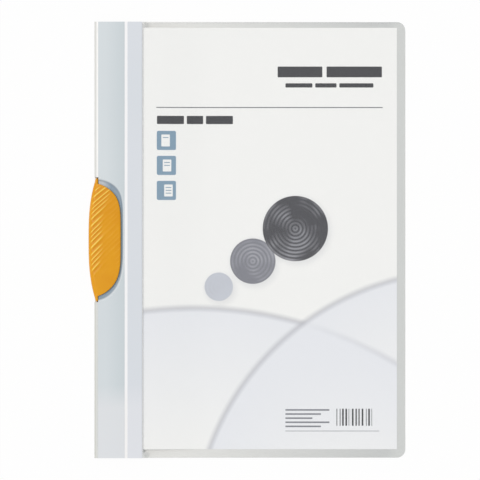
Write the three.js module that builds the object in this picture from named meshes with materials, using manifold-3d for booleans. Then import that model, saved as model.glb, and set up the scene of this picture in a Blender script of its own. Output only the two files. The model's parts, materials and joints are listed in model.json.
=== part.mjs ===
// A clip folder lying on its back, in millimetres. +Z is its front, +Y its head, -X its spine.
// The origin is the middle of the back panel's under face.

import * as THREE from 'three';
import { mergeVertices } from 'three/addons/utils/BufferGeometryUtils.js';
import Module from 'manifold-3d';

// Covers
const coverWidth = 219;        // spine fold to fore edge
const coverHeight = 307;       // foot to head
const sheetThick = 0.5;        // milky sheet: back panel, spine and front strip
const filmThick = 0.3;         // clear front cover
const cornerRadius = 6;        // the two fore corners
const fit = 0.3;               // clearance between pieces that lie over or turn in each other

// Spine and front strip
const footBend = 0.1;          // inner radius where the spine leaves the back panel
const shoulderBend = 1.3;      // inner radius where the spine turns into the strip
const stripWidth = 22.3;       // spine fold to the middle of the opening crease
const creaseWidth = 2.1;       // pressed groove that the front cover folds along
const creaseDepth = 0.15;
const bandWidth = 10.2;        // strip beyond the crease, welded to the clear cover

// Loose card insert, one portrait sheet
const insertWidth = 210;
const insertHeight = 297;
const insertThick = 0.2;
const insertGap = 0.1;         // from the clip's slot to the sheet's edge
const insertRise = 1;          // how far the sheet lies above the covers' middle
const insertRun = 44;          // length of the slope where the sheet comes down off the clip's leaf
const filmRun = 90;            // length of the slope of the clear cover beyond the band

// Swing clip
const clipLength = 87;         // tip to tip
const clipOverhang = 4.2;      // how far its belly stands out past the spine
const clipReach = 18.6;        // spine fold to the wing's free edge
const clipRise = 2.8;          // wing's crown above its own under edge
const wingShort = 4;           // from each tip to the wing's end
const wingThick = 1.2;
const wallThick = 1.2;
const leafThick = 1.2;         // flat tongue behind the sheets
const leafReach = 17.6;        // spine fold to the leaf's free edge
const bellyRound = 3.4;        // width of the rounding at the clip's outer edge
const pivotInset = 1.7;        // spine fold to the pivot's axis
const knuckleRadius = 1;
const pegRadius = 0.8;
const pegLift = 0.1;           // peg's foot above the under face of the back panel
const tipWidth = 1.1;          // clip's width at its two tips
const ribPitch = 4;            // along the spine
const ribHeight = 0.45;
const ribSlope = 1;            // ribs climb at 45 degrees
const ribReach = 13;           // strong part of the ribs, from the clip's outer edge

// Slot for the clip and the recess around its wing
const slotWidth = 3;
const slotEnd = 1.2;           // slot beyond each tip
const recessDepth = 0.9;
const recessReach = 20.6;      // spine fold to the recess's rim
const recessShort = 0.2;       // from each tip to the recess's end
const recessWall = 1;          // width of its sloping wall

// Levels, from the back panel up
const leafBottom = sheetThick + fit;
const leafTop = leafBottom + leafThick;
const insertBottom = leafTop + fit;
const floorBottom = insertBottom + insertThick + fit;
const floorTop = floorBottom + sheetThick;
const wingBottom = floorTop + fit;
const stripTop = floorTop + recessDepth;
const stripBottom = stripTop - sheetThick;
const filmRest = sheetThick + insertThick + fit;

// Places across the folder
const footFold = footBend + sheetThick;
const shoulderFold = shoulderBend + sheetThick;
const spineX = -coverWidth / 2;
const foreX = coverWidth / 2;
const creaseX = spineX + stripWidth;
const bandLeft = creaseX + creaseWidth / 2;
const bandRight = bandLeft + bandWidth;
const slotInner = spineX + slotWidth;
const insertLeft = slotInner + insertGap;
const pivotX = spineX + pivotInset;
const pivotY = clipLength / 2 - knuckleRadius;
const tipLeft = pivotX - tipWidth / 2;
const tipRight = pivotX + tipWidth / 2;
const wingRight = spineX + clipReach;
const wingHalf = clipLength / 2 - wingShort;
const recessHalf = clipLength / 2 - recessShort;
const bellyX = spineX - clipOverhang;

// The clip's and the recess's D shapes are half of |x/a|^powerX + |y/b|^powerY = 1
const powerX = 1.5;
const powerY = 4.2;
const bellyPower = 2.8;        // its belly is fuller than an arc

const wasm = await Module();
wasm.setup();

function toSolid(geometry) {
  geometry.deleteAttribute('normal');
  geometry.deleteAttribute('uv');
  const merged = mergeVertices(geometry, 1e-5);
  return new wasm.Manifold(new wasm.Mesh({
    numProp: 3,
    vertProperties: new Float32Array(merged.attributes.position.array),
    triVerts: new Uint32Array(merged.index.array),
  }));
}

function toGeometry(solid) {
  const mesh = solid.getMesh();
  const geometry = new THREE.BufferGeometry();
  geometry.setAttribute('position', new THREE.BufferAttribute(mesh.vertProperties, 3));
  geometry.setIndex(new THREE.BufferAttribute(mesh.triVerts, 1));
  geometry.computeVertexNormals();
  return geometry;
}

// A section in X and Z, run from foot to head
function runAlongY(section, length, middle = 0) {
  const geometry = new THREE.ExtrudeGeometry(section, { depth: length, bevelEnabled: false, curveSegments: 6 });
  geometry.rotateX(Math.PI / 2);
  geometry.translate(0, middle + length / 2, 0);
  return toSolid(geometry);
}

function box(x0, x1, y0, y1, z0, z1) {
  const geometry = new THREE.BoxGeometry(x1 - x0, y1 - y0, z1 - z0);
  geometry.translate((x0 + x1) / 2, (y0 + y1) / 2, (z0 + z1) / 2);
  return toSolid(geometry);
}

// All the space over a level
function above(level) {
  return box(-coverWidth, coverWidth, -coverHeight, coverHeight, level, level + coverWidth);
}

function upright(radius, x, y, z0, z1) {
  const geometry = new THREE.CylinderGeometry(radius, radius, z1 - z0, 24);
  geometry.rotateX(Math.PI / 2);
  geometry.translate(x, y, (z0 + z1) / 2);
  return toSolid(geometry);
}

// A unit box on 0..1, its corners and grid points moved to where place(u, v, w) says
function warpedBox(stepsU, stepsV, place) {
  const geometry = new THREE.BoxGeometry(1, 1, 1, stepsU, stepsV, 1);
  const position = geometry.attributes.position;
  for (let i = 0; i < position.count; i += 1) {
    const point = place(position.getX(i) + 0.5, position.getY(i) + 0.5, position.getZ(i) + 0.5);
    position.setXYZ(i, point.x, point.y, point.z);
  }
  return toSolid(geometry);
}

// A rounded disc about (slotInner, 0), shrunk by inset at its lower face
function roundedDisc(reachX, halfY, z0, z1, inset) {
  const geometry = new THREE.CylinderGeometry(1, 1, 1, 96);
  const position = geometry.attributes.position;
  for (let i = 0; i < position.count; i += 1) {
    const cos = position.getX(i);
    const sin = position.getZ(i);
    const onRim = Math.hypot(cos, sin) > 0.5 ? 1 : 0;
    const shrink = position.getY(i) > 0 ? 0 : inset;
    const x = Math.sign(cos) * Math.abs(cos) ** (2 / powerX) * (reachX - shrink) * onRim;
    const y = Math.sign(sin) * Math.abs(sin) ** (2 / powerY) * (halfY - shrink) * onRim;
    position.setXYZ(i, slotInner + x, -y, position.getY(i) > 0 ? z1 : z0);
  }
  return toSolid(geometry);
}

function smooth(t) {
  const s = Math.min(1, Math.max(0, t));
  return s * s * (3 - 2 * s);
}

// What the covers are trimmed to: square at the spine, round at the fore corners
function coverTrim() {
  const half = coverHeight / 2;
  const shape = new THREE.Shape();
  shape.moveTo(spineX - 1, -half);
  shape.lineTo(foreX - cornerRadius, -half);
  shape.absarc(foreX - cornerRadius, -half + cornerRadius, cornerRadius, -Math.PI / 2, 0);
  shape.absarc(foreX - cornerRadius, half - cornerRadius, cornerRadius, 0, Math.PI / 2);
  shape.lineTo(spineX - 1, half);
  const tall = stripTop + 2;
  const geometry = new THREE.ExtrudeGeometry(shape, { depth: tall, bevelEnabled: false, curveSegments: 8 });
  geometry.translate(0, 0, -1);
  return toSolid(geometry);
}

function rearCover() {
  const section = new THREE.Shape();
  const grooveZ = stripTop - creaseDepth;
  const shoulderZ = stripTop - shoulderFold;
  section.moveTo(foreX, 0);
  section.lineTo(foreX, sheetThick);
  section.lineTo(spineX + footFold, sheetThick);
  section.absarc(spineX + footFold, footFold, footBend, -Math.PI / 2, -Math.PI, true);
  section.absarc(spineX + shoulderFold, shoulderZ, shoulderBend, Math.PI, Math.PI / 2, true);
  section.lineTo(creaseX - fit / 2, stripBottom);
  section.lineTo(creaseX - fit / 2, grooveZ);
  section.lineTo(creaseX - creaseWidth / 2 + creaseDepth, grooveZ);
  section.lineTo(creaseX - creaseWidth / 2, stripTop);
  section.absarc(spineX + shoulderFold, shoulderZ, shoulderFold, Math.PI / 2, Math.PI, false);
  section.absarc(spineX + footFold, footFold, footFold, Math.PI, Math.PI * 1.5, false);
  const folded = runAlongY(section, coverHeight).intersect(coverTrim());

  const recessX = recessReach - slotWidth;
  const dish = roundedDisc(recessX, recessHalf, floorBottom, stripBottom + 0.01, recessWall);
  const hollow = roundedDisc(recessX, recessHalf, floorTop, stripTop, recessWall);
  const slotHalf = clipLength / 2 + slotEnd;
  const slot = box(slotInner - 2 * recessReach, slotInner, -slotHalf, slotHalf, sheetThick, stripTop + 1);
  const pegHole = upright(pegRadius + fit, pivotX, pivotY, -1, leafBottom);
  return folded.add(dish).subtract(hollow).subtract(slot).subtract(pegHole);
}

function hingeBand() {
  const section = new THREE.Shape();
  const grooveZ = stripTop - creaseDepth;
  section.moveTo(creaseX + fit / 2, stripBottom);
  section.lineTo(bandRight, stripBottom);
  section.lineTo(bandRight, stripTop);
  section.lineTo(bandLeft, stripTop);
  section.lineTo(bandLeft - creaseDepth, grooveZ);
  section.lineTo(creaseX + fit / 2, grooveZ);
  return runAlongY(section, coverHeight);
}

// A sheet that lies level at high, then eases down to low over run
function easedSection(left, bendX, run, right, high, low, thick) {
  const steps = 12;
  const under = [new THREE.Vector2(left, high)];
  for (let i = 0; i <= steps; i += 1) {
    const t = i / steps;
    under.push(new THREE.Vector2(bendX + run * t, high + (low - high) * smooth(t)));
  }
  under.push(new THREE.Vector2(right, low));
  const over = under.map((point) => new THREE.Vector2(point.x, point.y + thick)).reverse();
  return new THREE.Shape([...under, ...over]);
}

function frontCover() {
  const high = stripBottom - filmThick;
  const section = easedSection(bandLeft, bandRight + filmThick, filmRun, foreX, high, filmRest, filmThick);
  return runAlongY(section, coverHeight).intersect(coverTrim());
}

function insertSheet() {
  const right = insertLeft + insertWidth;
  const bendX = creaseX + creaseWidth;
  const section = easedSection(insertLeft, bendX, insertRun, right, insertBottom, sheetThick, insertThick);
  return runAlongY(section, insertHeight, insertRise);
}

function bellyAt(y) {
  const t = Math.min(1, Math.abs(y) / (clipLength / 2));
  return bellyX + (tipLeft - bellyX) * t ** bellyPower;
}

function wingEdgeAt(y) {
  const t = Math.min(1, Math.abs(y) / wingHalf);
  return tipRight + (wingRight - tipRight) * (1 - t ** powerY) ** (1 / powerX);
}

function crownAt(y) {
  const t = Math.min(1, Math.abs(y) / wingHalf);
  return wingBottom + wingThick + (clipRise - wingThick) * (1 - t ** 4);
}

function ribAt(x, y) {
  const across = x - bellyAt(y);
  const crest = 0.5 + 0.5 * Math.cos((2 * Math.PI * (y - ribSlope * across)) / ribPitch);
  const rise = smooth((across - 1.2) / 1.6);
  const fade = 1 - smooth((across - ribReach / 2) / (ribReach / 2));
  const ends = smooth((wingHalf - 4 - Math.abs(y)) / 3);
  return ribHeight * crest * rise * fade * ends;
}

function clipTopAt(x, y) {
  const left = bellyAt(y);
  const right = wingEdgeAt(y);
  const crown = crownAt(y);
  const turn = Math.min(1, (x - left) / bellyRound);
  const rounded = leafTop + (crown - leafTop) * Math.sqrt(1 - (1 - turn) ** 2);
  const slope = Math.max(0, (x - left - bellyRound) / (wingRight - bellyX - bellyRound));
  const fall = (crown - wingBottom - wingThick) * slope ** 1.4;
  const lip = 0.4 * (1 - Math.min(1, (right - x) / 0.9)) ** 2;
  return rounded - fall - (turn < 1 ? 0 : lip) + ribAt(x, y);
}

function wingUnderAt(x, y) {
  const left = bellyAt(y) + wallThick;
  const arch = Math.min(1, (x - left) / (bellyRound - wallThick));
  const lift = (crownAt(y) - wingThick - wingBottom) * (1 - smooth((x - left) / (clipReach - wallThick)));
  return leafTop + fit + (wingBottom + lift - leafTop - fit) * Math.sqrt(1 - (1 - arch) ** 2);
}

function swingClip() {
  const stepsX = 24;
  const stepsY = 104;
  const half = clipLength / 2;
  const roundSteps = 0.22;     // share of the grid that the outer rounding takes
  const body = warpedBox(stepsX, stepsY, (u, v, w) => {
    const y = (2 * v - 1) * half;
    const left = bellyAt(y);
    const right = wingEdgeAt(y);
    const turn = Math.min(bellyRound, (right - left) / 2);
    const inRound = (u / roundSteps) ** 2 * turn;
    const beyond = turn + ((u - roundSteps) / (1 - roundSteps)) * (right - left - turn);
    const x = left + (u < roundSteps ? inRound : beyond);
    return new THREE.Vector3(x, y, w > 0.5 ? clipTopAt(x, y) : 0);
  }).intersect(above(leafBottom));
  const throat = warpedBox(12, 30, (u, v, w) => {
    const y = (2 * v - 1) * (half + 1);
    const left = bellyAt(y) + wallThick;
    const x = left + u ** 1.6 * (wingRight + 5 - left);
    return new THREE.Vector3(x, y, w > 0.5 ? wingUnderAt(x, y) : 0);
  }).intersect(above(leafTop));
  const leaf = roundedDisc(leafReach - slotWidth, half, leafBottom, leafTop, 0)
    .intersect(box(pivotX, foreX, -half, half, 0, leafTop + 1));
  const knuckle = upright(knuckleRadius, pivotX, pivotY, leafBottom, stripTop);
  const peg = upright(pegRadius, pivotX, pivotY, pegLift, leafTop);
  return body.subtract(throat).add(leaf).add(knuckle).add(peg);
}

function finish(color, roughness, opacity = 1) {
  return new THREE.MeshStandardMaterial({
    color, roughness, metalness: 0, opacity, transparent: opacity < 1, side: THREE.DoubleSide,
  });
}

function piece(name, solid, material) {
  const mesh = new THREE.Mesh(toGeometry(solid), material);
  mesh.name = name;
  return mesh;
}

const folder = new THREE.Group();
folder.name = 'clip_folder';
const milky = finish(0xd9e0e6, 0.45, 0.85);
const clear = finish(0xf1f4f3, 0.15, 0.35);
const card = finish(0xf4f4f1, 0.7);
const orange = finish(0xe2a334, 0.4);
folder.add(piece('rear_cover', rearCover(), milky));
folder.add(piece('hinge_band', hingeBand(), milky));
folder.add(piece('front_cover', frontCover(), clear));
folder.add(piece('insert_sheet', insertSheet(), card));
folder.add(piece('swing_clip', swingClip(), orange));

export default folder;
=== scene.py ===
import json
import math

import bmesh
import bpy
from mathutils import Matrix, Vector


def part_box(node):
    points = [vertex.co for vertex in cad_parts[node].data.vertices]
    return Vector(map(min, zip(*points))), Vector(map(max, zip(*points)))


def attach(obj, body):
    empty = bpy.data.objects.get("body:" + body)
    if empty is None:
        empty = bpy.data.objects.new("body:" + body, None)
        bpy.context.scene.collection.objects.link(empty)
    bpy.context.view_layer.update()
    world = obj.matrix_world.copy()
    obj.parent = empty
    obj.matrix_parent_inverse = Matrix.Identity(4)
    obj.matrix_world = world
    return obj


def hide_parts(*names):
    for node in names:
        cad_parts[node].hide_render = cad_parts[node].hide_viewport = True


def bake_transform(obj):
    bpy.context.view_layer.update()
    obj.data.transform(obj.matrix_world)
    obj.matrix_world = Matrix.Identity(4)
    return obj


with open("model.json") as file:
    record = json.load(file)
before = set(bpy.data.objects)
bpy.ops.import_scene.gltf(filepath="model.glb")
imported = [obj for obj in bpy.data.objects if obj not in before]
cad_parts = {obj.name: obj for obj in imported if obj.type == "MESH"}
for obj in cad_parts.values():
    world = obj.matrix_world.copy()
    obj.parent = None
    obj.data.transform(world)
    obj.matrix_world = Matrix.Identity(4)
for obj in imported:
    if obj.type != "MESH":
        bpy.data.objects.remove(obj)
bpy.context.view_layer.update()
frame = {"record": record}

# A clip folder lying on its back. Lengths in the settings are millimetres, the scene is in metres.
mm = 0.001
near = 0.01                            # what is this close to a line lies on it, in millimetres
joints = {joint["name"]: joint for joint in frame["record"]["behaviour"]["joints"]}
crease = Vector(joints["cover_hinge"]["pos_m"]) / mm       # the opening crease
pivot = Vector(joints["clip_swing"]["pos_m"]) / mm         # the clip's upright axis


def boxOf(node):
    low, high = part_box(node)
    return Vector(low) / mm, Vector(high) / mm


coverLow, coverHigh = boxOf("rear_cover")
bandLow, bandHigh = boxOf("hinge_band")
filmLow, filmHigh = boxOf("front_cover")
cardLow, cardHigh = boxOf("insert_sheet")
clipLow, clipHigh = boxOf("swing_clip")
stripTop = coverHigh.z
sheetThick = bandHigh.z - bandLow.z
headY = coverHigh.y
clipHalf = (clipHigh.y - clipLow.y) / 2


def smooth(t):
    t = min(1, max(0, t))
    return t * t * (3 - 2 * t)


# Small tools for modelling

toolShape = {
    "cornerSteps": 10,
    "edgeSteps": 2,
    "edgeAngle": 50,                   # sharper edges than this are softened
    "shadeAngle": 20,
    "mergeWithin": 0.0005,
}


def selectOnly(piece):
    bpy.ops.object.select_all(action="DESELECT")
    piece.select_set(True)
    bpy.context.view_layer.objects.active = piece


def openUp(piece, mode):
    selectOnly(piece)
    bpy.ops.object.mode_set(mode="EDIT")
    bpy.ops.mesh.select_mode(type=mode)
    bpy.ops.mesh.select_all(action="DESELECT")


def closeUp():
    bpy.ops.object.mode_set(mode="OBJECT")


def pick(piece, mode, test):
    bpy.ops.mesh.select_mode(type=mode)
    bpy.ops.mesh.select_all(action="DESELECT")
    mesh = bmesh.from_edit_mesh(piece.data)
    parts = {"VERT": mesh.verts, "EDGE": mesh.edges, "FACE": mesh.faces}[mode]
    for part in parts:
        if mode == "VERT":
            middle = part.co
        elif mode == "EDGE":
            middle = (part.verts[0].co + part.verts[1].co) / 2
        else:
            middle = part.calc_center_median()
        if test(middle / mm, part):
            part.select_set(True)
    mesh.select_flush_mode()
    bmesh.update_edit_mesh(piece.data)


def newPlane(name, x0, x1, y0, y1, z):
    bpy.ops.object.select_all(action="DESELECT")
    middle = ((x0 + x1) / 2 * mm, (y0 + y1) / 2 * mm, z * mm)
    bpy.ops.mesh.primitive_plane_add(size=1, location=middle)
    piece = bpy.context.object
    piece.name = name
    piece.scale = ((x1 - x0) * mm, (y1 - y0) * mm, 1)
    bpy.ops.object.transform_apply(location=True, rotation=True, scale=True)
    return piece


def roundForeCorners(piece, radius):
    openUp(piece, "VERT")
    foreX = max(vertex.co.x for vertex in piece.data.vertices) / mm
    pick(piece, "VERT", lambda at, part: at.x > foreX - near)
    bpy.ops.mesh.bevel(offset=radius * mm, segments=toolShape["cornerSteps"], affect="VERTICES")
    closeUp()


def cutAcross(piece, places, axis):
    openUp(piece, "FACE")
    normal = (1, 0, 0) if axis == "x" else (0, 1, 0)
    for place in places:
        bpy.ops.mesh.select_all(action="SELECT")
        bpy.ops.mesh.bisect(plane_co=tuple(place * mm * part for part in normal), plane_no=normal)
    closeUp()


def extrude(x, z):
    bpy.ops.mesh.extrude_region_move(TRANSFORM_OT_translate={"value": (x * mm, 0, z * mm)})


def foldOver(x, z, steps):             # a quarter turn about a line along the spine
    bpy.ops.mesh.spin(steps=steps, angle=-math.pi / 2, axis=(0, 1, 0), center=(x * mm, 0, z * mm))


def applyAll(piece):
    selectOnly(piece)
    for name in [modifier.name for modifier in piece.modifiers]:
        bpy.ops.object.modifier_apply(modifier=name)


def thicken(piece, thickness, edge=0.0):
    solid = piece.modifiers.new("wall", "SOLIDIFY")
    solid.thickness = thickness * mm
    solid.offset = 0
    solid.use_even_offset = True
    applyAll(piece)
    if edge:
        soft = piece.modifiers.new("edge", "BEVEL")
        soft.width = edge * mm
        soft.segments = toolShape["edgeSteps"]
        soft.limit_method = "ANGLE"
        soft.angle_limit = math.radians(toolShape["edgeAngle"])
        applyAll(piece)


def smoothShade(piece, degrees=toolShape["shadeAngle"]):
    selectOnly(piece)
    bpy.ops.object.shade_smooth_by_angle(angle=math.radians(degrees))


def faceOutwards(piece):
    openUp(piece, "VERT")
    bpy.ops.mesh.select_all(action="SELECT")
    bpy.ops.mesh.remove_doubles(threshold=toolShape["mergeWithin"] * mm)
    bpy.ops.mesh.normals_make_consistent(inside=False)
    closeUp()


def spread(start, end, step):
    count = max(1, math.ceil(abs(end - start) / step))
    return [start + (end - start) * i / count for i in range(count + 1)]


# Sums in materials, written as Python

class Value:
    def __init__(self, desk, socket):
        self.desk = desk
        self.socket = socket

    def join(self, operation, *others, clamp=False):
        settings = {"operation": operation, "use_clamp": clamp}
        node = self.desk.add("ShaderNodeMath", settings, dict(enumerate((self, *others))))
        return Value(self.desk, node.outputs[0])

    def __add__(self, other):
        return self.join("ADD", other)

    def __radd__(self, other):
        return self.join("ADD", other)

    def __sub__(self, other):
        return self.join("SUBTRACT", other)

    def __rsub__(self, other):
        return self.join("MULTIPLY_ADD", -1.0, other)

    def __mul__(self, other):
        return self.join("MULTIPLY", other)

    def __rmul__(self, other):
        return self.join("MULTIPLY", other)

    def __truediv__(self, other):
        return self.join("DIVIDE", other)

    def __abs__(self):
        return self.join("ABSOLUTE")

    def wrap(self, period):
        return self.join("PINGPONG", period / 2)

    def over(self, low, high):         # 0 up to low, 1 from high on
        return (self - low).join("DIVIDE", high - low, clamp=True)

    def most(self, other):
        return self.join("MAXIMUM", other)

    def root(self):
        return self.join("SQRT")


class Desk:                            # one material and its nodes
    def __init__(self, name, plain):
        self.material = bpy.data.materials.new(name)
        self.material.use_nodes = True
        self.tree = self.material.node_tree
        self.shader = self.tree.nodes["Principled BSDF"]
        for socket, value in plain.items():
            self.shader.inputs[socket].default_value = value
        place = self.add("ShaderNodeTexCoord", {}, {})
        self.place = place.outputs["Object"]
        split = self.add("ShaderNodeSeparateXYZ", {}, {0: self.place})
        self.x, self.y, self.z = [Value(self, output) * (1 / mm) for output in split.outputs]

    def add(self, kind, settings, inputs):
        node = self.tree.nodes.new(kind)
        for key, value in settings.items():
            setattr(node, key, value)
        for key, value in inputs.items():
            self.feed(node.inputs[key], value)
        return node

    def feed(self, socket, value):
        if isinstance(value, Value):
            self.tree.links.new(value.socket, socket)
        elif isinstance(value, bpy.types.NodeSocket):
            self.tree.links.new(value, socket)
        else:
            socket.default_value = value

    def paint(self, name, value):
        self.feed(self.shader.inputs[name], value)

    def mix(self, share, first, second):
        node = self.add("ShaderNodeMix", {"data_type": "RGBA"}, {0: share, 6: first, 7: second})
        return node.outputs[2]

    def noise(self, scale, detail):
        inputs = {"Vector": self.place, "Scale": scale, "Detail": detail}
        node = self.add("ShaderNodeTexNoise", {}, inputs)
        return Value(self, node.outputs[0])

    def bump(self, height, strength, distance):
        inputs = {"Height": height, "Strength": strength, "Distance": distance * mm}
        node = self.add("ShaderNodeBump", {}, inputs)
        self.paint("Normal", node.outputs[0])

    def far(self, x, y):               # how far a place is from an upright line
        across = self.x - x
        along = self.y - y
        return (across * across + along * along).root()

    def disc(self, x, y, radius, blur=0.3):
        return self.far(x, y).over(radius + blur / 2, radius - blur / 2)

    def patch(self, left, right, foot, head, corner=0.0, blur=0.25):       # 1 inside a rectangle
        across = abs(self.x - (left + right) / 2) - ((right - left) / 2 - corner)
        along = abs(self.y - (foot + head) / 2) - ((head - foot) / 2 - corner)
        if corner == 0:
            return across.over(blur / 2, -blur / 2) * along.over(blur / 2, -blur / 2)
        across = across.most(0)
        along = along.most(0)
        past = (across * across + along * along).root()
        return past.over(corner + blur / 2, corner - blur / 2)


def shade(red, green, blue):           # a colour as the screen shows it, 0 to 255
    def line(part):
        part /= 255
        return part / 12.92 if part <= 0.04045 else ((part + 0.055) / 1.055) ** 2.4
    return (line(red), line(green), line(blue), 1)


print("frame loaded")


# Camera, light and floor

stageLook = {
    "cameraHeight": 1.5,               # metres over the folder
    "cameraX": -7.02,                  # where the picture's middle lies on the folder
    "cameraY": -0.07,
    "pictureWidth": 338.5,             # what the picture spans at the folder
    "sensorWidth": 36,
    "keyStrength": 1.62,
    "keyFrom": (-0.4, 0.16, 0.9),      # where the key light comes from
    "keyAngle": 28,
    "keyColor": (1, 0.91, 0.86),
    "skyColor": (0.9, 0.955, 0.98, 1),
    "skyStrength": 0.59,
    "floorSize": 8,                    # metres
    "floorDrop": 0.05,                 # under the folder
    "floorRough": 0.9,
    "floorTone": shade(243, 243, 243),
    "floorGlow": 0.93,                 # how far the floor shows as plain white
}


def placeCamera(scene):
    look = stageLook
    height = look["cameraHeight"]
    place = (look["cameraX"] * mm, look["cameraY"] * mm, height)
    bpy.ops.object.camera_add(location=place, rotation=(0, 0, 0))
    camera = bpy.context.object
    camera.data.sensor_width = look["sensorWidth"]
    camera.data.lens = look["sensorWidth"] * height / (look["pictureWidth"] * mm)
    scene.camera = camera


def placeLights(scene):
    look = stageLook
    bpy.ops.object.light_add(type="SUN", location=look["keyFrom"])
    key = bpy.context.object
    key.data.energy = look["keyStrength"]
    key.data.angle = math.radians(look["keyAngle"])
    key.data.color = look["keyColor"]
    key.rotation_euler = (-Vector(look["keyFrom"])).to_track_quat("-Z", "Y").to_euler()

    world = bpy.data.worlds.new("studio")
    world.use_nodes = True
    scene.world = world
    sky = world.node_tree.nodes["Background"]
    sky.inputs["Color"].default_value = look["skyColor"]
    sky.inputs["Strength"].default_value = look["skyStrength"]


def layFloor():
    look = stageLook
    bpy.ops.object.select_all(action="DESELECT")
    bpy.ops.mesh.primitive_plane_add(size=look["floorSize"], location=(0, 0, -look["floorDrop"] * mm))
    floor = bpy.context.object
    floor.name = "floor"
    desk = Desk("floor_white", {"Base Color": look["floorTone"], "Roughness": look["floorRough"]})
    rays = desk.add("ShaderNodeLightPath", {}, {})
    seen = Value(desk, rays.outputs["Is Camera Ray"]) + Value(desk, rays.outputs["Is Glossy Ray"])
    seen = seen + Value(desk, rays.outputs["Is Transmission Ray"])
    share = seen.join("MULTIPLY", look["floorGlow"], clamp=True)
    glow = desk.add("ShaderNodeEmission", {}, {"Color": (1, 1, 1, 1), "Strength": 1.0})
    both = {0: share, 1: desk.shader.outputs[0], 2: glow.outputs[0]}
    blend = desk.add("ShaderNodeMixShader", {}, both)
    desk.feed(desk.tree.nodes["Material Output"].inputs[0], blend.outputs[0])
    floor.data.materials.append(desk.material)


def setStage():
    scene = bpy.context.scene
    scene.view_settings.view_transform = "Standard"
    placeCamera(scene)
    placeLights(scene)
    layFloor()


setStage()
print("stage set")


# Materials. In a look, a pair such as foot says where a tone starts and where it is full. A noise
# has its scale and its detail, and a bump its strength and its height.

cloudBlur = (0.3, 0.7)

sheetTones = {
    "strip": {                         # the whole back cover
        "alpha": 0.93,
        "deep": shade(213, 221, 226),
        "pale": shade(217, 225, 229),
        "side": shade(203, 213, 218),
        "foot": shade(227, 230, 234),
        "foldTop": shade(222, 223, 220),
        "foldLow": shade(212, 214, 209),
        "lineTop": shade(255, 255, 254),
        "lineLow": shade(216, 219, 218),
        # painted shade in the recess: its floor, the wing's shadow beside the wing, and the upper wall
        "recess": shade(190, 200, 210),
        "recessShadowDeep": shade(134, 156, 174),
        "recessShadeArc": shade(158, 168, 180),
        # the back panel: painted light, paler on the left and darker to the right
        "backLitLeft": shade(231, 232, 230),
        "backShadedRight": shade(203, 206, 206),
        "backRim": shade(212, 215, 214),
    },
    "band": {
        "alpha": 0.95,
        "deep": shade(216, 222, 229),
        "pale": shade(219, 224, 231),
        "foot": shade(226, 229, 235),
    },
    "web": {
        "alpha": 0.96,
        "deep": shade(245, 246, 248),
        "pale": shade(248, 248, 250),
        "foot": shade(245, 245, 245),
    },
}

sheetLook = {
    "rough": 0.42,
    "bending": 1.49,                   # of light
    "cloud": (14, 3),
    "grain": (900, 2),
    "bump": (0.12, 0.02),
    "sideStart": 8,                    # past the spine
    "sideStop": 0.5,                   # short of the crease
    "foot": (-102, -118),
    "footShare": 0.85,
    "rise": (-50, 60),                 # the fold and its line grow paler from foot to head
    "fold": (1.9, 1.4),                # past the spine, as the line is
    "line": 2.2,
    "lineBlur": (0.75, 0.3),
    # where the back panel's painted light fades from left to right
    "back": (-48, 92),
    "backRim": (97, 103),
    "backLevel": (2.4, 1.2),           # over the floor
}

# where the recess's painted shade lies and how dark it grows
recessShadeLook = {
    "sunk": (0.02, 0.4),               # below the strip's top
    "slotEdge": (2.6, 3.1),            # past the spine
    "calm": (-12, -30),                # its tones are calmer towards the foot
    "share": 0.8,
    "calmLoss": 0.45,
    "drop": 0.35,                      # the depth at which the painted shadow tone is full
    "calmDrop": 0.5,
    "headFade": (29, 37),              # paler in the corner by the clip's head tip
    "sideFade": (-98, -103),
    # the painted shade of the recess's upper wall
    "arcDrop": 0.4,
    "arcWidth": 0.6,
    "arcRise": (24, 33),
    "arcShare": 0.8,
}


def pastSpine(pair):
    return [coverLow.x + place for place in pair]


def recessShadeTones(desk, base, tone):     # painted shade: darker and bluer with depth, for the recess's own shade and the wing's shadow in it
    look = recessShadeLook
    sunk = desk.z.over(*[stripTop - drop for drop in look["sunk"]])
    sunk = sunk * desk.x.over(*pastSpine(look["slotEdge"]))
    calm = desk.y.over(*look["calm"])
    base = desk.mix(sunk * (look["share"] - calm * look["calmLoss"]), base, tone["recess"])
    steep = look["drop"] + calm * look["calmDrop"]
    fade = desk.y.over(*look["headFade"]) * desk.x.over(*look["sideFade"])
    # the wing's painted shadow, full at the recess's floor
    deep = ((stripTop - desk.z) / steep).over(0, 1) * (1 - fade)
    base = desk.mix(deep * sunk, base, tone["recessShadowDeep"])
    shadeArc = (1 - abs(desk.z - (stripTop - look["arcDrop"])) / look["arcWidth"]).over(0, 1)
    shadeArc = shadeArc * desk.y.over(*look["arcRise"])
    return desk.mix(shadeArc * sunk * look["arcShare"], base, tone["recessShadeArc"])


def spineTones(desk, base, tone):      # the spine's fold, the recess's painted shade, and the pale line along the fold
    look = sheetLook
    rise = desk.y.over(*look["rise"])
    fold = desk.x.over(*pastSpine(look["fold"]))
    base = desk.mix(fold, base, desk.mix(rise, tone["foldLow"], tone["foldTop"]))
    base = recessShadeTones(desk, base, tone)
    line = abs(desk.x - (coverLow.x + look["line"])).over(*look["lineBlur"])
    return desk.mix(line, base, desk.mix(rise, tone["lineLow"], tone["lineTop"]))


def backTones(desk, base, tone):       # the back panel, below the strip, with painted light: paler on the left, darker to the right
    look = sheetLook
    back = desk.mix(desk.x.over(*look["back"]), tone["backLitLeft"], tone["backShadedRight"])
    back = desk.mix(desk.x.over(*look["backRim"]), back, tone["backRim"])
    return desk.mix(desk.z.over(*look["backLevel"]), base, back)


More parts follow.
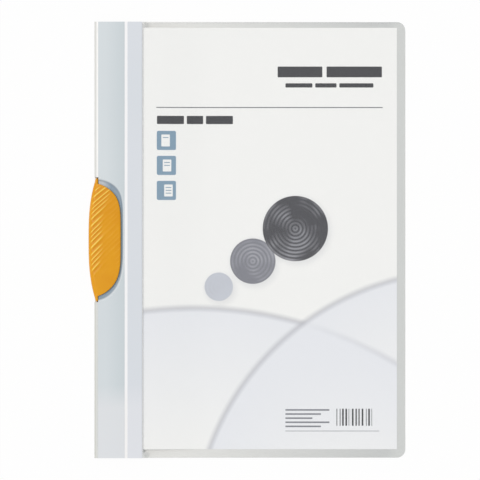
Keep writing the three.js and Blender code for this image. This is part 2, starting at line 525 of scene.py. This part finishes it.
def milkySheet(name, part):
    look = sheetLook
    tone = sheetTones[part]
    desk = Desk(name, {"Roughness": look["rough"], "IOR": look["bending"], "Alpha": tone["alpha"]})
    cloud = desk.noise(*look["cloud"])
    base = desk.mix(cloud.over(*cloudBlur), tone["deep"], tone["pale"])
    if part == "strip":                # bluer and darker towards the crease
        side = desk.x.over(coverLow.x + look["sideStart"], crease.x - look["sideStop"])
        base = desk.mix(side, base, tone["side"])
    base = desk.mix(desk.y.over(*look["foot"]) * look["footShare"], base, tone["foot"])
    if part == "strip":
        base = spineTones(desk, base, tone)
        base = backTones(desk, base, tone)
    desk.paint("Base Color", base)
    desk.bump(desk.noise(*look["grain"]), *look["bump"])
    return desk.material


filmLook = {
    "bending": 1.49,
    "deep": shade(226, 228, 227),
    "pale": shade(236, 237, 235),
    "weldAndLightTone": shade(250, 250, 251),
    "cloud": (9, 3),
    "haze": 0.022,
    "hazeRange": 0.02,
    "rim": 0.18,                       # how much more solid the rim looks
    "rimWidth": 0.5,
    "rimCorner": 5.3,
    "rimBlur": 0.3,
    "weldAndPaintedLight": 0.5,                       # it is milky where it is welded to the band: a real seam, and painted light over the band's shadow
    "weldPast": 0.4,                   # the weld's middle, past the band
    "weldBlur": (0.6, 0.3),
    "litCornerEase": 0.4,                 # and painted light in the corners beyond the card, next to the band, over the band's and card's shadows
    "litCornerRun": (4.5, 1),
    "rough": 0.12,
    "roughRange": 0.1,
}


def clearFilm():
    look = filmLook
    desk = Desk("clear_film", {"IOR": look["bending"]})
    haze = desk.noise(*look["cloud"])
    width = look["rimWidth"]
    rim = 1 - desk.patch(filmLow.x, filmHigh.x - width, filmLow.y + width, filmHigh.y - width,
                         look["rimCorner"], look["rimBlur"])
    # painted light in the corners beside the band, over the shadows cast there
    corner = abs(desk.y).over(cardHigh.y - look["litCornerEase"], cardHigh.y + look["litCornerEase"])
    corner = corner * (desk.x - bandHigh.x).over(*look["litCornerRun"])
    # the weld: a milky seam that is also painted light over the band's shadow
    weldAndPaintedLight = abs(desk.x - (bandHigh.x + look["weldPast"])).over(*look["weldBlur"])
    clear = look["haze"] + haze * look["hazeRange"]
    desk.paint("Alpha", clear + rim * look["rim"] + weldAndPaintedLight.most(corner) * look["weldAndPaintedLight"])
    base = desk.mix(haze, look["deep"], look["pale"])
    desk.paint("Base Color", desk.mix(weldAndPaintedLight, base, look["weldAndLightTone"]))
    desk.paint("Roughness", look["rough"] + haze * look["roughRange"])
    return desk.material


clipLook = {
    "plain": {"IOR": 1.46, "Specular IOR Level": 0.32, "Coat Weight": 0.02, "Coat Roughness": 0.3},
    "deep": shade(221, 149, 6),
    "pale": shade(228, 160, 14),
    "cloud": (60, 3),
    "grain": (1500, 2),
    "bump": (0.1, 0.02),
    "rough": 0.38,
    "roughRange": 0.12,
    "ribStart": (1.5, 2.6),            # past the outer edge
    "ribReach": 7.5,
    "ribEase": 1.5,
    "headReach": 4.5,                  # the ribs reach this much farther at the head
    "headRun": (20, 32),
    "patchyReach": 2,
    "patchyPlaces": (70, 1),
    "patchyBlur": (0.35, 0.65),
    "ribFoot": (-28, -26),
    "ribHead": (38, 36),
    "level": (3.2, 4.0),               # only on the wing's upper side
    # painted highlight on the rib crests
    "crest": shade(251, 217, 104),
    "crestWave": (0.5, 0.95),
    "crestShare": 0.85,
    # painted shade in the rib grooves
    "groove": shade(210, 134, 20),
    "grooveWave": (-0.2, -0.9),
    "grooveShare": 0.6,
    "streak": shade(240, 180, 62),     # fainter painted highlights along the lines, over the rest of the wing
    "streakWave": (0.2, 0.9),
    "streakShare": 0.35,
    "streakPlaces": (110, 2),
    "streakBlur": (0.4, 0.75),
    "streakFoot": (-30, -22),
}


def orangePlastic():
    look = clipLook
    shape = clipShape
    desk = Desk("orange_plastic", look["plain"])
    cloud = desk.noise(*look["cloud"])
    base = desk.mix(cloud.over(*cloudBlur), look["deep"], look["pale"])

    # The same lines as the ribs' own: painted highlights on the crests and painted shade in the grooves,
    # reaching patchily
    belly = coverLow.x - shape["overhang"]
    tip = pivot.x - shape["tipWidth"] / 2
    outer = (abs(desk.y) / clipHalf).join("POWER", shape["bellyPower"]) * (tip - belly) + belly
    across = desk.x - outer
    line = desk.y - across
    line = line + (line / ribShape["sway"]).join("SINE") * ribShape["shift"]
    wave = (line * (2 * math.pi / ribShape["pitch"])).join("COSINE")

    # patchy: how far the painted highlights and shade reach
    patchy = desk.noise(*look["patchyPlaces"]).over(*look["patchyBlur"])
    reach = look["ribReach"] + desk.y.over(*look["headRun"]) * look["headReach"] + patchy * look["patchyReach"]
    ribbed = across.over(*look["ribStart"]) * (reach - across).over(-look["ribEase"], look["ribEase"])
    ribbed = ribbed * line.over(*look["ribFoot"]) * desk.y.over(*look["ribHead"])
    ribbed = ribbed * desk.z.over(*look["level"])
    streakHighlights = desk.noise(*look["streakPlaces"]).over(*look["streakBlur"])
    streakHighlights = streakHighlights * desk.z.over(*look["level"]) * desk.y.over(*look["streakFoot"])

    streakHighlights = wave.over(*look["streakWave"]) * streakHighlights * look["streakShare"]
    crestHighlights = wave.over(*look["crestWave"]) * ribbed * look["crestShare"]
    grooveShade = wave.over(*look["grooveWave"]) * ribbed * look["grooveShare"]
    base = desk.mix(streakHighlights, base, look["streak"])
    base = desk.mix(crestHighlights, base, look["crest"])
    base = desk.mix(grooveShade, base, look["groove"])
    desk.paint("Base Color", base)
    desk.paint("Roughness", look["rough"] + cloud * look["roughRange"])
    desk.bump(desk.noise(*look["grain"]), *look["bump"])
    return desk.material


# The card's print: generic marks, all in millimetres on the folder

printLook = {
    "plain": {"Roughness": 0.62, "IOR": 1.45},
    "grain": (420, 3),
    "bump": (0.08, 0.02),
    "paper": shade(246, 247, 246),
    "fibre": shade(242, 243, 242),
    "ink": shade(40, 42, 50),
    "rule": shade(70, 74, 82),
    "small": shade(120, 124, 132),
    "badge": shade(124, 154, 177),
    "field": shade(231, 234, 240),
    "crest": shade(184, 186, 194),
}

hillPrint = {
    "hills": ((-40, -330, 282), (150, -212, 190)),         # centre and radius
    "edge": 1,
    "fadeInside": 105,
    "fadeOutside": 10,
    "crestWidth": 3.2,
    "crestShare": 0.7,
}

discPrint = {
    "discs": (                         # centre, radius and tone
        (-22, -33, 10, shade(196, 201, 211)),
        (2, -15, 16, shade(122, 124, 134)),
        (32, 8, 23, shade(58, 59, 67)),
    ),
    "shadowRight": 1.2,
    "shadowDown": 1.5,
    "shadowGrow": 1,
    "shadowBlur": 5,
    "shadowShare": 0.3,
    "ringPitch": 2.6,
    "ringBlur": (0.2, 1.1),
    "ringShare": 0.55,
    "patchyPlaces": (45, 2),
    "patchyBlur": (0.42, 0.66),
}

badgePrint = {
    "count": 3,
    "left": -65.6,
    "right": -52.1,
    "top": 76.8,                       # of the first badge
    "height": 13.5,
    "pitch": 17.6,
    "corner": 1.2,
    "pageLeft": -62.4,                 # each page lies 1 mm farther right than the one above
    "pageRight": -56.4,
    "pageFoot": 11,                    # below the badge's top, as the lines are
    "pageHead": 2.6,
    "pageCorner": 0.5,
    "lineLeft": -61.4,
    "lineRight": -57.4,
    "lineFoot": 5,
    "lineHead": 4.4,
    "linePitch": 2,
}

barPrint = {                           # places as left, right, foot and head
    "rule": (-65.9, 93.5, 93.0, 93.6),
    "bars": (
        (-65.5, -46.5, 81.6, 87.4), (-44.5, -33.0, 81.6, 87.4), (-31.0, -12.0, 81.6, 87.4),
        (19.5, 51.0, 114.6, 122.2), (54.0, 93.0, 114.6, 122.2),
        (25.0, 44.0, 107.4, 110.4), (46.0, 61.0, 107.4, 110.4), (63.0, 87.0, 107.4, 110.4),
    ),
    "corner": 0.6,
}

stripePrint = {
    "patch": (61, 86, -131, -119),
    "pitches": (2.3, 3.7),             # two rows of stripes, shown where they meet
    "blurs": ((0.5, 0.62), (0.3, 0.42)),
}

linePrint = {
    "rule": (25, 91, -134.9, -134.5),
    "count": 5,
    "left": 25,
    "longest": 31,
    "shorter": 6,
    "lengths": 3,
    "foot": -120.4,                    # of the first line
    "head": -119.3,
    "pitch": 2.9,
}


def printHills(desk, base):            # pale, over the lower half, each with a soft grey crest
    shape = hillPrint
    for x, y, radius in shape["hills"]:
        far = desk.far(x, y)
        field = far.over(radius, radius - shape["edge"])
        field = field * far.over(radius - shape["fadeInside"], radius + shape["fadeOutside"])
        crest = (1 - abs(far - radius) / shape["crestWidth"]).over(0, 1)
        base = desk.mix(field, base, printLook["field"])
        base = desk.mix(crest * shape["crestShare"], base, printLook["crest"])
    return base


def printDiscs(desk, base):            # plain, with fine rings and a soft shadow
    shape = discPrint
    crest = printLook["crest"]
    for x, y, radius, tone in shape["discs"]:
        shadow = desk.disc(x + shape["shadowRight"], y - shape["shadowDown"],
                           radius + shape["shadowGrow"], shape["shadowBlur"])
        base = desk.mix(shadow * shape["shadowShare"], base, crest)
        rings = desk.far(x, y).wrap(shape["ringPitch"]).over(*shape["ringBlur"])
        rings = rings * desk.noise(*shape["patchyPlaces"]).over(*shape["patchyBlur"])
        base = desk.mix(desk.disc(x, y, radius), base, desk.mix(rings * shape["ringShare"], tone, crest))
    return base


def printBadges(desk, base):           # page-shaped, in a column
    shape = badgePrint
    for row in range(shape["count"]):
        top = shape["top"] - shape["pitch"] * row
        field = desk.patch(shape["left"], shape["right"], top - shape["height"], top, shape["corner"])
        page = desk.patch(shape["pageLeft"] + row, shape["pageRight"] + row,
                          top - shape["pageFoot"], top - shape["pageHead"], shape["pageCorner"])
        for line in range(row + 1):
            drop = shape["linePitch"] * line
            page = page * (1 - desk.patch(shape["lineLeft"] + row, shape["lineRight"] + row,
                                          top - shape["lineFoot"] - drop, top - shape["lineHead"] - drop))
        base = desk.mix(field * (1 - page), base, printLook["badge"])
    return base


def printBars(desk, base):             # a thin rule and plain bars
    base = desk.mix(desk.patch(*barPrint["rule"]), base, printLook["rule"])
    for bar in barPrint["bars"]:
        base = desk.mix(desk.patch(*bar, barPrint["corner"]), base, printLook["ink"])
    return base


def printStripes(desk, base):
    wide, narrow = stripePrint["pitches"]
    wideBlur, narrowBlur = stripePrint["blurs"]
    stripes = desk.x.wrap(wide).over(*wideBlur) * desk.x.wrap(narrow).over(*narrowBlur)
    return desk.mix(stripes * desk.patch(*stripePrint["patch"]), base, printLook["ink"])


def printSmallLines(desk, base):       # a hairline rule, and lines of three lengths
    shape = linePrint
    base = desk.mix(desk.patch(*linePrint["rule"]), base, printLook["small"])
    for row in range(shape["count"]):
        length = shape["longest"] - shape["shorter"] * (row % shape["lengths"])
        drop = shape["pitch"] * row
        line = desk.patch(shape["left"], shape["left"] + length, shape["foot"] - drop, shape["head"] - drop)
        base = desk.mix(line, base, printLook["small"])
    return base


def printedCard():
    look = printLook
    desk = Desk("printed_card", look["plain"])
    fibre = desk.noise(*look["grain"])
    base = desk.mix(fibre, look["paper"], look["fibre"])
    for mark in (printHills, printDiscs, printBadges, printBars, printStripes, printSmallLines):
        base = mark(desk, base)
    desk.paint("Base Color", base)
    desk.bump(fibre, *look["bump"])
    return desk.material


def dress(piece, material, body, node):
    piece.data.materials.clear()
    piece.data.materials.append(material)
    if node:
        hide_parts(node)
    if body:
        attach(piece, body)


# The back cover: a panel, folded up at the spine and over into the strip

rearShape = {
    "cornerRadius": 6.0,
    "footFold": 0.6,                   # outer radii of the two folds
    "footSteps": 6,
    "shoulderFold": 1.8,
    "shoulderSteps": 8,
    "creaseWidth": 2.1,
    "slotWidth": 3.0,
    "slotTop": 0.65,                   # past the clip's tip, which turns there
    "slotFoot": 0.3,
    "slotLevel": 0.42,                 # the slot starts over the back panel
    "pinchTop": 0.15,                  # how far the slot narrows at its ends
    "pinchFoot": 0.3,
    "pinchFull": 39.3,                 # from here on it is narrow
    "pinchRun": 3.0,
    "recessDepth": 0.9,
    "recessReach": 21.0,
    "recessShort": 0.2,                # shorter than the clip, at each end
    "recessWall": 2.2,
    "powerX": 1.5,                     # how round the recess is, across and along
    "upperPower": 6.5,
    "lowerPower": 4.0,
    "slotRows": 0.5,                   # cuts across the strip, close together at the slot
    "endRows": (20, 60),               # and from head and foot
    "panelStart": 10,                  # cuts along the panel
    "panelStop": 8,
    "panelStep": 12,
    "lipStep": 0.6,
    "stripStep": 0.45,
}
slotInner = coverLow.x + rearShape["slotWidth"]
slotTop = clipHigh.y + rearShape["slotTop"]
slotFoot = clipLow.y - rearShape["slotFoot"]
stripRight = crease.x - rearShape["creaseWidth"] / 2


def recessDepthAt(x, y):
    shape = rearShape
    wall = shape["recessWall"]
    reach = shape["recessReach"] - shape["slotWidth"]
    half = clipHalf - shape["recessShort"]
    across = max(0, x - coverLow.x - shape["slotWidth"])
    power = shape["upperPower"] if y > 0 else shape["lowerPower"]

    def level(a, b):
        return (across / a) ** shape["powerX"] + (abs(y) / b) ** power
    outer = level(reach, half)
    inner = level(reach - wall, half - wall)
    if outer >= 1:
        return 0
    if inner <= 1:
        return shape["recessDepth"]
    return shape["recessDepth"] * smooth((1 - outer) / (inner - outer))


def foldSpine(piece, left):            # the panel's edge climbs the spine and comes over as the strip
    shape = rearShape
    shoulderX = coverLow.x + shape["shoulderFold"]
    wallTop = stripTop - shape["shoulderFold"]
    stops = spread(shoulderX, slotInner, shape["lipStep"])
    stops += spread(slotInner, stripRight, shape["stripStep"])[1:]
    openUp(piece, "EDGE")
    pick(piece, "EDGE", lambda at, part: abs(at.x - left) < near)
    foldOver(left, shape["footFold"], shape["footSteps"])
    extrude(0, wallTop - shape["footFold"])
    foldOver(shoulderX, wallTop, shape["shoulderSteps"])
    for here, there in zip(stops, stops[1:]):
        extrude(there - here, 0)
    closeUp()


def cutSlot(piece):
    def inSlot(at, part):
        return at.z > rearShape["slotLevel"] and at.x < slotInner and slotFoot < at.y < slotTop
    openUp(piece, "FACE")
    pick(piece, "FACE", inSlot)
    bpy.ops.mesh.delete(type="FACE")
    closeUp()


def pressRecess(piece):                # sinks the recess, and draws the slot's edge in at its ends
    shape = rearShape
    for vertex in piece.data.vertices:
        at = vertex.co / mm
        if at.z > stripTop - sheetThick / 2 - near and at.x > slotInner - near:
            vertex.co.z -= recessDepthAt(at.x, at.y) * mm
            if at.x < slotInner + near and slotFoot - near < at.y < slotTop + near:
                pinch = smooth((abs(at.y) - shape["pinchFull"]) / shape["pinchRun"] + 1)
                width = shape["pinchTop"] if at.y > 0 else shape["pinchFoot"]
                vertex.co.x -= width * pinch * mm


def buildRearCover():
    shape = rearShape
    left = coverLow.x + shape["footFold"]
    rows = spread(slotFoot, slotTop, shape["slotRows"])
    rows += [row - headY for row in shape["endRows"]]
    rows += [headY - row for row in reversed(shape["endRows"])]
    columns = spread(left + shape["panelStart"], coverHigh.x - shape["panelStop"], shape["panelStep"])
    piece = newPlane("rear_cover_sheet", left, coverHigh.x, coverLow.y, coverHigh.y, sheetThick / 2)
    roundForeCorners(piece, shape["cornerRadius"])
    cutAcross(piece, rows, "y")
    cutAcross(piece, columns, "x")
    foldSpine(piece, left)
    cutSlot(piece)
    pressRecess(piece)
    faceOutwards(piece)
    thicken(piece, sheetThick)
    smoothShade(piece)
    dress(piece, milkySheet("milky_sheet", "strip"), "root", "rear_cover")


# The crease: a thin pressed web, cut into narrow strips along the crease

webShape = {"thick": 0.3, "sink": 0.15, "steps": 12, "shadeAngle": 60}


def buildWeb():
    shape = webShape
    half = rearShape["creaseWidth"] / 2
    middle = stripTop - shape["sink"] - shape["thick"] / 2
    stops = spread(crease.x - half, crease.x + half, 2 * half / shape["steps"])
    piece = newPlane("crease_web", crease.x - half, crease.x + half, coverLow.y, coverHigh.y, middle)
    cutAcross(piece, stops[1:-1], "x")
    thicken(piece, shape["thick"])
    faceOutwards(piece)
    smoothShade(piece, shape["shadeAngle"])
    dress(piece, milkySheet("crease_sheet", "web"), None, None)
    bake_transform(piece)


# The welded band and the clear front cover

bandShape = {"shy": 0.01, "edge": 0.08, "rowStep": 20}     # shy: thinner than the sheet


def buildBand():
    shape = bandShape
    left = crease.x + rearShape["creaseWidth"] / 2
    middle = (bandLow.z + bandHigh.z) / 2
    piece = newPlane("hinge_band_sheet", left, bandHigh.x, coverLow.y, coverHigh.y, middle)
    cutAcross(piece, spread(-headY, headY, shape["rowStep"])[1:-1], "y")
    thicken(piece, sheetThick - shape["shy"], shape["edge"])
    faceOutwards(piece)
    smoothShade(piece)
    dress(piece, milkySheet("band_sheet", "band"), "cover", "hinge_band")


filmShape = {
    "thick": 0.3,
    "edge": 0.06,
    "cornerRadius": 6.0,
    "run": 90.0,                       # length of its slope beyond the band
    "wave": 0.1,                       # it isn't quite flat
    "waveX": 43,
    "waveY": 31,
    "columnStart": 2,
    "columnStop": 7,
    "columnStep": 3,
    "rowMargin": 8,
    "rowStep": 9,
}


def buildFilm():
    shape = filmShape
    thick = shape["thick"]
    high = filmHigh.z - thick / 2
    low = filmLow.z + thick / 2
    bend = bandHigh.x + thick
    margin = headY - shape["rowMargin"]
    columns = spread(filmLow.x + shape["columnStart"], filmHigh.x - shape["columnStop"], shape["columnStep"])
    piece = newPlane("front_cover_film", filmLow.x, filmHigh.x, filmLow.y, filmHigh.y, high)
    roundForeCorners(piece, shape["cornerRadius"])
    cutAcross(piece, columns, "x")
    cutAcross(piece, spread(-margin, margin, shape["rowStep"]), "y")
    for vertex in piece.data.vertices:
        at = vertex.co / mm
        ease = smooth((at.x - bend) / shape["run"])
        ripple = math.sin(at.y / shape["waveY"]) * math.sin(at.x / shape["waveX"]) + 1
        wave = shape["wave"] * ease * ripple / 2
        vertex.co.z = (high + (low - high) * ease + wave) * mm
    thicken(piece, thick, shape["edge"])
    faceOutwards(piece)
    smoothShade(piece)
    dress(piece, clearFilm(), "cover", "front_cover")


# The printed card between the covers

cardShape = {
    "thick": 0.2,
    "rise": 0.5,                       # it bows up to the film, and then comes down
    "riseRun": 8.0,
    "run": 50.0,
    "columnStep": 2,
    "rowStep": 25,
}


def buildCard():
    shape = cardShape
    thick = shape["thick"]
    high = cardHigh.z - thick / 2
    low = cardLow.z + thick / 2
    bend = crease.x + rearShape["creaseWidth"]
    columns = spread(bend, bend + shape["riseRun"] + shape["run"], shape["columnStep"])
    piece = newPlane("insert_card", cardLow.x, cardHigh.x, cardLow.y, cardHigh.y, high)
    cutAcross(piece, columns, "x")
    cutAcross(piece, spread(cardLow.y, cardHigh.y, shape["rowStep"])[1:-1], "y")
    for vertex in piece.data.vertices:
        past = vertex.co.x / mm - bend
        crest = high + shape["rise"] * smooth(past / shape["riseRun"])
        fall = smooth((past - shape["riseRun"]) / shape["run"])
        vertex.co.z = (crest + (low - crest) * fall) * mm
    thicken(piece, thick)
    faceOutwards(piece)
    smoothShade(piece)
    dress(piece, printedCard(), "root", "insert_sheet")


# The clip: its C section is carried along the spine from tip to tip

clipShape = {
    "overhang": 4.2,                   # past the spine
    "reach": 18.6,                     # of the wing, over the strip
    "rise": 2.8,
    "wingShort": 4.0,                  # the wing ends before the tips
    "wingThick": 1.2,
    "wallThick": 1.2,
    "wallShare": 0.6,                  # of the width, where the clip is narrow
    "leafThick": 1.2,
    "leafReach": 17.6,
    "leafLevel": 0.8,
    "room": 0.3,
    "bellyRound": 3.4,
    "bellyPower": 2.8,                 # powers: the higher, the squarer the outline
    "crownPower": 4,
    "upperPower": 5.2,
    "lowerPower": 4.4,
    "wingPower": 1.25,
    "leafPower": 4.2,
    "fallPower": 1.4,
    "tipWidth": 1.2,
    "tipSide": 1.4,
    "tipPoint": 0.3,
    "tipRun": 1.2,
    "soft": 0.25,                      # the leaf's edges
    "lip": 0.35,                       # the wing's edge turns down
    "lipWidth": 0.9,
    "lipThick": 0.05,
    "edgeBulge": 0.02,
    "edgeLevel": 0.6,
    "edgeFoot": 0.08,
    "knuckleRadius": 0.65,
    "pegRadius": 0.8,
    "pegLift": 0.1,
    "pinSides": 40,
    "pinEdge": 0.15,
    "pinEdgeSteps": 3,
    "bellyPoints": 14,                 # points of the section
    "wingPoints": 76,
    "underPoints": 20,
    "underPower": 1.6,
    "leafPoints": 8,
    "stations": 300,
    "mergeWithin": 0.001,
    "tipWithin": 0.05,
    "shadeAngle": 50,
}
leafTop = clipShape["leafLevel"] + clipShape["leafThick"]

ribShape = {
    "pitch": 4.0,
    "shift": 0.7,                      # the lines sway a little from their even places
    "sway": 2.9,
    "height": 0.42,
    "sharpness": 1.7,
    "start": 1.9,                      # past the outer edge
    "startRun": 1.6,
    "edge": 0.7,                       # short of the wing's edge
    "edgeRun": 1.5,
    "reach": 12.0,
    "uneven": 0.22,
    "unevenTurn": 2.4,
    "longFrom": 22,                    # from here to the head the ribs grow longer
    "longSlope": 0.35,
    "keep": 0.4,                       # the share of a rib that is at full height
    "faint": 0.12,
    "floor": -29.0,
    "ceiling": 2.5,                    # short of the wing's head
    "endRun": 3,
}


def ribHeightAt(across, y, toEdge):
    shape = ribShape
    line = y - across                  # ribs climb away from the spine at 45 degrees
    line += shape["shift"] * math.sin(line / shape["sway"])
    number = round(line / shape["pitch"])
    reach = shape["reach"] * (1 + shape["uneven"] * math.sin(shape["unevenTurn"] * number))
    reach += max(0, (y - shape["longFrom"]) * shape["longSlope"])
    wave = (0.5 + 0.5 * math.cos(2 * math.pi * line / shape["pitch"])) ** shape["sharpness"]
    fade = 1 - (1 - shape["faint"]) * smooth((across / reach - shape["keep"]) / (1 - shape["keep"]))
    start = smooth((across - shape["start"]) / shape["startRun"])
    start *= smooth((toEdge - shape["edge"]) / shape["edgeRun"])
    wingHead = clipHigh.y - clipShape["wingShort"] - shape["ceiling"]
    ends = smooth((line - shape["floor"]) / shape["endRun"]) * smooth((wingHead - y) / shape["endRun"])
    return shape["height"] * wave * fade * start * ends


def clipEdges(y):                      # outer wall, wing's edge, leaf's edge, and the wing's swell
    shape = clipShape
    spineX = coverLow.x
    t = min(1, abs(y) / clipHalf)
    s = min(1, abs(y) / (clipHalf - shape["wingShort"]))
    point = smooth((abs(y) - clipHalf) / shape["tipRun"] + 1)
    tip = shape["tipWidth"] / 2 * (1 - point) + shape["tipPoint"] / 2 * point
    tipLeft = pivot.x - tip
    tipRight = pivot.x + tip * shape["tipSide"]
    belly = spineX - shape["overhang"]
    left = belly + (tipLeft - belly) * t ** shape["bellyPower"]
    power = shape["upperPower"] if y > 0 else shape["lowerPower"]
    wingOut = (1 - s ** power) ** (1 / shape["wingPower"])
    right = tipRight + (spineX + shape["reach"] - tipRight) * wingOut
    leafOut = (1 - t ** shape["leafPower"]) ** (1 / rearShape["powerX"])
    leafRight = tipRight + (spineX + shape["leafReach"] - tipRight) * leafOut
    swell = (shape["rise"] - shape["wingThick"]) * (1 - s ** shape["crownPower"])
    return left, right, leafRight, swell


def clipSection(y):                    # a loop: up the wall, over the wing, back under it, round the leaf
    shape = clipShape
    soft = shape["soft"]
    leafBottom = shape["leafLevel"]
    wingBottom = stripTop - rearShape["recessDepth"] + shape["room"]
    left, right, leafRight, swell = clipEdges(y)
    crown = wingBottom + shape["wingThick"] + swell
    turn = min(shape["bellyRound"], (right - left) / 2)
    wall = min(shape["wallThick"], (right - left) * shape["wallShare"])
    start = left + wall

    def topAt(x):
        across = x - left
        bend = min(1, across / turn)
        rounded = leafTop + (crown - leafTop) * math.sqrt(max(0, 1 - (1 - bend) ** 2))
        span = shape["reach"] + shape["overhang"] - shape["bellyRound"]
        fall = swell * max(0, (across - turn) / span) ** shape["fallPower"]
        lip = shape["lip"] * (1 - min(1, (right - x) / shape["lipWidth"])) ** 2 if bend >= 1 else 0
        return rounded - fall - lip + ribHeightAt(across, y, right - x)

    def underAt(x):
        arch = min(1, max(0, (x - start) / (shape["bellyRound"] - wall)))
        lift = swell * (1 - smooth((x - start) / (shape["reach"] - wall)))
        level = leafTop + shape["room"]
        return level + (wingBottom + lift - level) * math.sqrt(max(0, 1 - (1 - arch) ** 2))

    count = shape["bellyPoints"]
    over = [left + turn * (i / count) ** 2 for i in range(1, count + 1)]
    count = shape["wingPoints"]
    over += [left + turn + (right - left - turn) * i / count for i in range(1, count + 1)]
    count = shape["underPoints"]
    power = shape["underPower"]
    inner = [right + (start - right) * (1 - (1 - i / count) ** power) for i in range(1, count)]
    loop = [(left + soft, leafBottom), (left, leafBottom + soft), (left, leafTop)]
    loop += [(x, topAt(x)) for x in over]
    edgeTop = loop[-1][1]
    under = max(underAt(right), leafTop + shape["lipThick"])
    bulge = edgeTop * shape["edgeLevel"] + under * (1 - shape["edgeLevel"])
    loop += [(right + shape["edgeBulge"], bulge), (right, under + shape["edgeFoot"])]
    loop += [(x, underAt(x)) for x in inner]
    loop += [(start, leafTop + soft), (start, leafTop)]
    count = shape["leafPoints"]
    loop += [(start + (leafRight - start) * i / count, leafTop) for i in range(1, count)]
    loop += [(leafRight - soft / 2, leafTop), (leafRight, leafTop - soft)]
    loop += [(leafRight, leafBottom + soft), (leafRight - soft / 2, leafBottom)]
    loop += [(leafRight + (left + soft - leafRight) * i / count, leafBottom) for i in range(1, count)]
    return loop


def wrapClip():                        # a grid, wrapped round the sections
    steps = clipShape["stations"]
    stations = [clipHalf * math.sin(math.pi / 2 * (2 * step / steps - 1)) for step in range(steps + 1)]
    sections = [[(x * mm, y * mm, z * mm) for x, z in clipSection(y)] for y in stations]
    columns = len(sections[0])
    bpy.ops.object.select_all(action="DESELECT")
    bpy.ops.mesh.primitive_grid_add(x_subdivisions=columns, y_subdivisions=steps, size=2)
    piece = bpy.context.object
    piece.name = "swing_clip_moulding"
    for vertex in piece.data.vertices:
        column = round((vertex.co.x + 1) / 2 * columns) % columns
        row = round((vertex.co.y + 1) / 2 * steps)
        vertex.co = sections[row][column]
    return piece


def closeTips(piece):
    within = clipShape["tipWithin"]
    openUp(piece, "VERT")
    bpy.ops.mesh.select_all(action="SELECT")
    bpy.ops.mesh.remove_doubles(threshold=clipShape["mergeWithin"] * mm)
    for end in (-clipHalf, clipHalf):
        pick(piece, "EDGE", lambda at, part: part.is_boundary and abs(at.y - end) < within)
        bpy.ops.mesh.edge_face_add()
    bpy.ops.mesh.select_all(action="SELECT")
    bpy.ops.mesh.normals_make_consistent(inside=False)
    closeUp()


def newPin(radius, low, high):         # upright, on the clip's axis
    bpy.ops.object.select_all(action="DESELECT")
    bpy.ops.mesh.primitive_cylinder_add(
        vertices=clipShape["pinSides"], radius=radius * mm, depth=(high - low) * mm,
        location=(pivot.x * mm, pivot.y * mm, (low + high) / 2 * mm))
    pin = bpy.context.object
    bpy.ops.object.transform_apply(location=True, rotation=True, scale=True)
    soft = pin.modifiers.new("edge", "BEVEL")
    soft.width = clipShape["pinEdge"] * mm
    soft.segments = clipShape["pinEdgeSteps"]
    applyAll(pin)
    return pin


def buildClip():
    shape = clipShape
    piece = wrapClip()
    closeTips(piece)
    knuckle = newPin(shape["knuckleRadius"], shape["leafLevel"], stripTop)
    peg = newPin(shape["pegRadius"], shape["pegLift"], leafTop)
    selectOnly(piece)
    knuckle.select_set(True)
    peg.select_set(True)
    bpy.ops.object.join()
    smoothShade(piece, shape["shadeAngle"])
    dress(piece, orangePlastic(), "clip", "swing_clip")


buildRearCover()
print("back cover built")
buildWeb()
buildBand()
buildFilm()
print("front cover built")
buildCard()
print("card built")
buildClip()
print("clip built")

bpy.context.view_layer.update()
